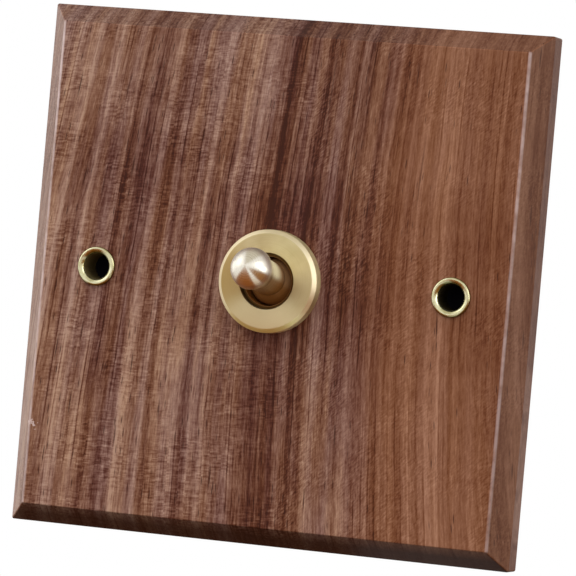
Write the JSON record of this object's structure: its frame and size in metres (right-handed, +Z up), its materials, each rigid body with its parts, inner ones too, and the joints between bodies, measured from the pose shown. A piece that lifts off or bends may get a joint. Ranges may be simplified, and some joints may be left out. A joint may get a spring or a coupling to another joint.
{
  "type": "dolly light switch",
  "caption": "Square bevelled walnut wall plate with a turned brass toggle lever in a flat brass collar, brass screw eyelets and a two-way switch body with screw terminals behind.",
  "frame": {"origin": "middle of the plate's back rim plane, where the plate lies on the wall", "axes": "+X to the right seen from the front, +Z up, +Y into the wall; the front of the plate faces -Y"},
  "size_m": [0.085, 0.043, 0.085],
  "materials": {
    "walnut": "oiled walnut with a satin sheen",
    "eyelet_brass": "bright rolled brass",
    "collar_brass": "satin brass",
    "dolly_brass": "turned brass",
    "bush_brass": "machined brass with a cut thread",
    "plated_steel": "zinc plated pressing",
    "spring_steel": "spring steel",
    "fibre": "red-brown vulcanised fibre card",
    "phenolic": "black moulded phenolic",
    "acetal": "white acetal",
    "copper": "copper strip",
    "silver": "silver contact",
    "terminal_brass": "pressed brass strip"
  },
  "bodies": {
    "base": {"walnut_plate": "walnut", "left_eyelet": "eyelet_brass", "right_eyelet": "eyelet_brass", "collar_ring": "collar_brass", "threaded_bush": "bush_brass", "pivot_pin": "spring_steel", "lock_washer": "spring_steel", "back_nut": "bush_brass", "switch_frame": "plated_steel", "fibre_liner": "fibre", "case": "phenolic", "common_terminal": "terminal_brass", "upper_terminal": "terminal_brass", "lower_terminal": "terminal_brass", "fixed_contacts": "silver", "terminal_screws": "plated_steel", "clamp_washers": "plated_steel"},
    "dolly": {"dolly": "dolly_brass", "plunger_spring": "spring_steel"},
    "plunger": {"plunger": "acetal"},
    "rocker": {"rocker_blade": "copper", "rocker_contacts": "silver"}
  },
  "joints": [
    {"name": "dolly_swing", "type": "hinge", "parent": "base", "child": "dolly", "pos_m": [0, -0.0061, 0], "axis": [1, 0, 0], "range_deg": [0, 17]},
    {"name": "rocker_swing", "type": "hinge", "parent": "base", "child": "rocker", "pos_m": [0, 0.0111, 0], "axis": [1, 0, 0], "range_deg": [-17, 0]},
    {"name": "plunger_slide", "type": "slide", "parent": "dolly", "child": "plunger", "axis": [0, 0.989, -0.1478], "range_m": [0, 0.00052], "stiffness_N_per_m": 400, "springref_m": 0.0008, "deforming": ["plunger_spring"]}
  ],
  "couplings": [
    {"joint": "rocker_swing", "follows": "dolly_swing", "ratio": -1}
  ]
}
